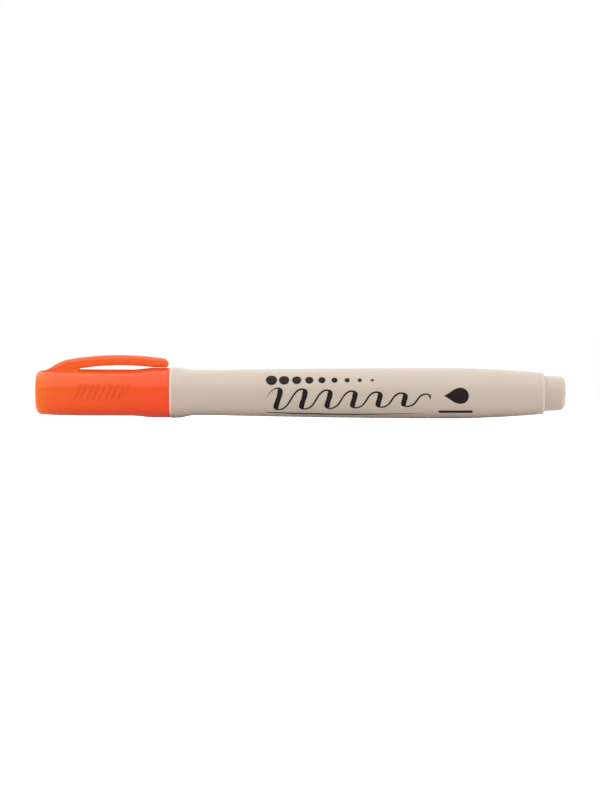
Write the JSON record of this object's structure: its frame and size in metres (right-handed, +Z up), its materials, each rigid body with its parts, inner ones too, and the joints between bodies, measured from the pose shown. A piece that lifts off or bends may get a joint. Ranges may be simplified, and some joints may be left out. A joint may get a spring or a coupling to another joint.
{
  "type": "brush pen",
  "caption": "Capped brush pen: waisted barrel with a tapered tail and end plug, arched pocket clip on the cap, flexible brush nib and fibre ink reservoir inside.",
  "frame": {"origin": "on the surface that the pen lies on, below the middle of its capped length and in its plane of symmetry", "axes": "+X along the pen from the closed end of the cap to the tail; +Z up, the side that the clip is on; +Y square to the plane of symmetry"},
  "size_m": [0.1414, 0.0134, 0.0166],
  "materials": {
    "cap_orange": "satin-gloss fluorescent orange polypropylene",
    "barrel_beige": "satin warm beige polypropylene",
    "plug_beige": "satin, slightly translucent beige polypropylene",
    "natural_plastic": "uncoloured polyethylene, milky",
    "nib_fibre": "bonded synthetic bristle and fibre soaked with orange ink",
    "wick_fibre": "bundled polyester fibre soaked with orange ink",
    "reservoir_fibre": "loose polyester fibre soaked with orange ink",
    "reservoir_film": "thin clear film",
    "print_ink": "screen-printed black ink"
  },
  "bodies": {
    "pen": {"barrel": "barrel_beige", "front_section": "barrel_beige", "nib_holder": "natural_plastic", "feed_wick": "wick_fibre", "reservoir_core": "reservoir_fibre", "reservoir_film": "reservoir_film", "tail_plug": "plug_beige"},
    "cap": {"cap_shell": "cap_orange", "inner_cap": "natural_plastic"},
    "clip": {"pocket_clip": "cap_orange"},
    "nib": {"brush_nib": "nib_fibre"}
  },
  "joints": [
    {"name": "cap_pull", "type": "slide", "parent": "pen", "child": "cap", "axis": [-1, 0, 0], "range_m": [0, 0.045]},
    {"name": "clip_flex", "type": "hinge", "parent": "cap", "child": "clip", "pos_m": [-0.05875, 0, 0.0147], "axis": [0, -1, 0], "range_deg": [0, 7], "stiffness_Nm_per_rad": 0.9},
    {"name": "nib_flex", "type": "hinge", "parent": "pen", "child": "nib", "pos_m": [-0.05315, 0, 0.0067], "axis": [0, 1, 0], "range_deg": [-20, 20], "stiffness_Nm_per_rad": 0.008, "deforming": ["brush_nib"]}
  ]
}
